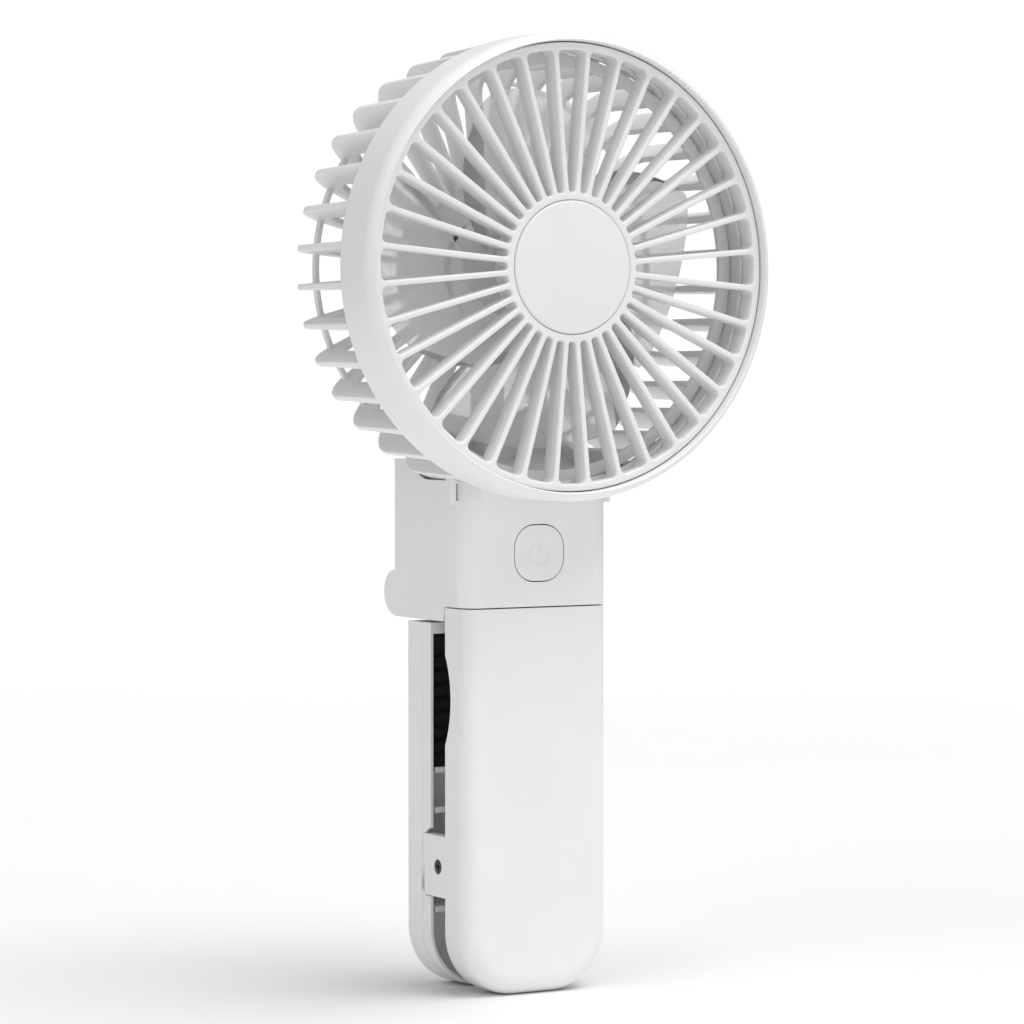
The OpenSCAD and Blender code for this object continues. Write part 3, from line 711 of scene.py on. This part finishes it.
def power_button():
    """A rounded square cap with an engraved ring and bar."""
    front = (button_low.y - SEAM_Y) / MM
    half = (button_high.x - button_low.x) / MM / 2
    gap = math.radians(24)
    ring_r, line = 2.55, 0.42
    bar_low, bar_high, bar_corner = 0.5, 3.4, 0.15

    def square(half_w, corner):
        corners = ((-half_w, -half_w), (half_w, -half_w), (half_w, half_w), (-half_w, half_w))
        return rounded([(x, y, corner) for x, y in corners], 12)

    ring = arc((0, 0), ring_r + line / 2, math.pi / 2 + gap, 2.5 * math.pi - gap, 40)
    ring += arc((0, 0), ring_r - line / 2, 2.5 * math.pi - gap, math.pi / 2 + gap, 40)
    bar_ends = ((-line / 2, bar_low), (line / 2, bar_low), (line / 2, bar_high), (-line / 2, bar_high))
    bar = rounded([(x, y, bar_corner) for x, y in bar_ends], 3)
    face = plate([square(half, 5), ring, bar], front, 0.4, 0.05, BUTTON_Z)
    body = plate([square(half * 0.995, 4.9)], front + 0.12, 1.85, 0.1, BUTTON_Z)
    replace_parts(finished(face, "button_face", "button", "white_plastic"), "power_button")
    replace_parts(finished(body, "button_body", "button", "white_plastic"), "power_button")


# ---- The clip's spring ----


def torsion_spring():
    """A wire that runs along one leg, round the coil and along the other leg."""
    low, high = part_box("torsion_spring")
    pin_low, pin_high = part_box("pivot_pin")
    pivot = (pin_low + pin_high) / 2
    wire_r = 0.45
    coil_r = 2.9
    front_out = 0.05
    turns = 6.5
    steps = 32
    span = (high.x - low.x) / MM - 2 * wire_r
    leg = 9.0
    rear_out = (high.y - pivot.y) / MM - wire_r - coil_r
    curve = bpy.data.curves.new("spring_wire", "CURVE")
    curve.dimensions = "3D"
    curve.bevel_depth = wire_r * MM
    curve.bevel_resolution = 4
    curve.use_fill_caps = True
    path = [
        (-span / 2, -coil_r - front_out, -leg),
        (-span / 2, -coil_r - front_out / 2, -leg * 0.5),
    ]
    for k in range(int(steps * turns) + 1):
        a = math.pi - 2 * math.pi * k / steps
        x = (k / (steps * turns) - 0.5) * span
        path.append((x, coil_r * math.cos(a), coil_r * math.sin(a)))
    path += [(span / 2, coil_r + rear_out * 0.5, -leg * 0.5), (span / 2, coil_r + rear_out, -leg)]
    spline = curve.splines.new("POLY")
    spline.points.add(len(path) - 1)
    for point, (x, y, z) in zip(spline.points, path):
        point.co = (pivot.x + x * MM, pivot.y + y * MM, pivot.z + z * MM, 1)
    mesh = meshed(curve)
    mesh.polygons.foreach_set("use_smooth", [True] * len(mesh.polygons))
    mesh.materials.clear()
    mesh.materials.append(FINISHES["steel"])
    piece = bpy.data.objects.new("clip_spring", mesh)
    bpy.context.scene.collection.objects.link(piece)
    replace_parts(piece, "torsion_spring")
    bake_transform(piece)


# ---- Finishes and soft edges on the frame's own pieces ----


def soften(node, width):
    """Rounds a CAD node's sharp edges with modifiers, which leave its mesh as it is."""
    weld = node.modifiers.new("weld", "WELD")
    weld.merge_threshold = 1e-6
    flat = node.modifiers.new("flat", "DECIMATE")
    flat.decimate_type = "DISSOLVE"
    flat.angle_limit = math.radians(0.4)
    bevel = node.modifiers.new("bevel", "BEVEL")
    bevel.limit_method = "ANGLE"
    bevel.angle_limit = math.radians(32)
    bevel.width = width * MM
    bevel.segments = 3
    bevel.harden_normals = True
    bevel.use_clamp_overlap = True


SOFT_EDGES = {
    "front_shell": 0.25,
    "rear_cover": 0.2,
    "clip_cover": 0.3,
    "clip_frame": 0.2,
    "neck_housing": 0.25,
    "neck_rear_cover": 0.2,
}


def dress_frame():
    slots = {part["node"]: part["material_slot"] for part in frame["record"]["subparts"]}
    for name, node in frame["nodes"].items():
        finish = FINISHES[slots[name]]
        if not node.material_slots:
            node.data.materials.append(finish)
        for place in node.material_slots:
            place.material = finish
        if name in SOFT_EDGES:
            soften(node, SOFT_EDGES[name])


# ---- Studio and camera ----


FLOOR_CLEAR = 0.35
FLOOR_REACH = 1.6


def floor_finish():
    """A matt, pale finish that fades out towards the floor's rim, into the backdrop."""
    material, tree, shader = principled("floor")
    cloud = noise(tree, 3)
    tinted(tree, cloud.outputs["Fac"], (0.85, 0.85, 0.85), (0.87, 0.87, 0.87), shader.inputs["Base Color"])
    shader.inputs["Roughness"].default_value = 0.7
    shader.inputs["Specular IOR Level"].default_value = 0.2
    place = tree.nodes.new("ShaderNodeTexCoord")
    distance = tree.nodes.new("ShaderNodeVectorMath")
    distance.operation = "LENGTH"
    fade = tree.nodes.new("ShaderNodeMapRange")
    fade.interpolation_type = "SMOOTHERSTEP"
    fade.inputs["From Min"].default_value = FLOOR_CLEAR
    fade.inputs["From Max"].default_value = FLOOR_REACH
    fade.inputs["To Min"].default_value = 1.0
    fade.inputs["To Max"].default_value = 0.0
    tree.links.new(place.outputs["Object"], distance.inputs[0])
    tree.links.new(distance.outputs["Value"], fade.inputs["Value"])
    tree.links.new(fade.outputs["Result"], shader.inputs["Alpha"])
    return material


def studio():
    """A plain pale floor and a white backdrop, under soft light from above, the front and the left."""
    mesh = bpy.data.meshes.new("floor")
    ring = [(FLOOR_REACH * x, FLOOR_REACH * y, 0) for x, y in circle(1, 64)]
    mesh.from_pydata(ring, [], [tuple(range(len(ring)))])
    floor = bpy.data.objects.new("floor", mesh)
    bpy.context.scene.collection.objects.link(floor)
    mesh.materials.append(floor_finish())
    backdrop()
    bpy.context.scene.view_settings.view_transform = "Standard"
    sun_light("overhead", (0.25, -0.25, 0.93), 2.3, 50)
    sun_light("front", (0.0, -1.0, 0.25), 0.27, 40)
    sun_light("left", (-0.7, -0.3, 0.6), 0.42, 35)


def backdrop():
    """White behind the object, and a softer white light from all round it."""
    world = bpy.data.worlds.new("studio")
    world.use_nodes = True
    tree = world.node_tree
    soft = tree.nodes["Background"]
    soft.inputs["Strength"].default_value = 0.4
    soft.inputs["Color"].default_value = (1, 1, 1, 1)
    white = tree.nodes.new("ShaderNodeBackground")
    white.inputs["Strength"].default_value = 1.05
    white.inputs["Color"].default_value = (1, 1, 1, 1)
    rays = tree.nodes.new("ShaderNodeLightPath")
    mix = tree.nodes.new("ShaderNodeMixShader")
    tree.links.new(rays.outputs["Is Camera Ray"], mix.inputs["Fac"])
    tree.links.new(soft.outputs["Background"], mix.inputs[1])
    tree.links.new(white.outputs["Background"], mix.inputs[2])
    tree.links.new(mix.outputs["Shader"], tree.nodes["World Output"].inputs["Surface"])
    bpy.context.scene.world = world


def sun_light(name, towards, power, spread_angle):
    """A very soft light from a direction, given as a vector towards it."""
    data = bpy.data.lights.new(name, "SUN")
    data.energy = power
    data.angle = math.radians(spread_angle)
    light = bpy.data.objects.new(name, data)
    light.rotation_euler = Vector(towards).to_track_quat("Z", "Y").to_euler()
    bpy.context.scene.collection.objects.link(light)


def camera():
    """A long lens from the front left, level with the top of the neck and tilted slightly down."""
    heading = math.radians(30)
    tilt = math.radians(2.14)
    ahead, aside, height = 0.8845, 0.01354, 0.1431
    forward = Vector((math.sin(heading), math.cos(heading), 0))
    right = Vector((math.cos(heading), -math.sin(heading), 0))
    data = bpy.data.cameras.new("camera")
    data.lens = 139.7
    data.sensor_width = 36
    data.clip_start = 0.01
    data.clip_end = 50
    view = bpy.data.objects.new("camera", data)
    view.location = Vector((0, SEAM_Y, height)) - forward * ahead - right * aside
    view.rotation_euler = (math.pi / 2 - tilt, 0, -heading)
    bpy.context.scene.collection.objects.link(view)
    bpy.context.scene.camera = view


camera()
studio()
dress_frame()
front_grille()
hub_cap()
ring_band()
rear_cage()
rear_disc()
impeller()
power_button()
torsion_spring()
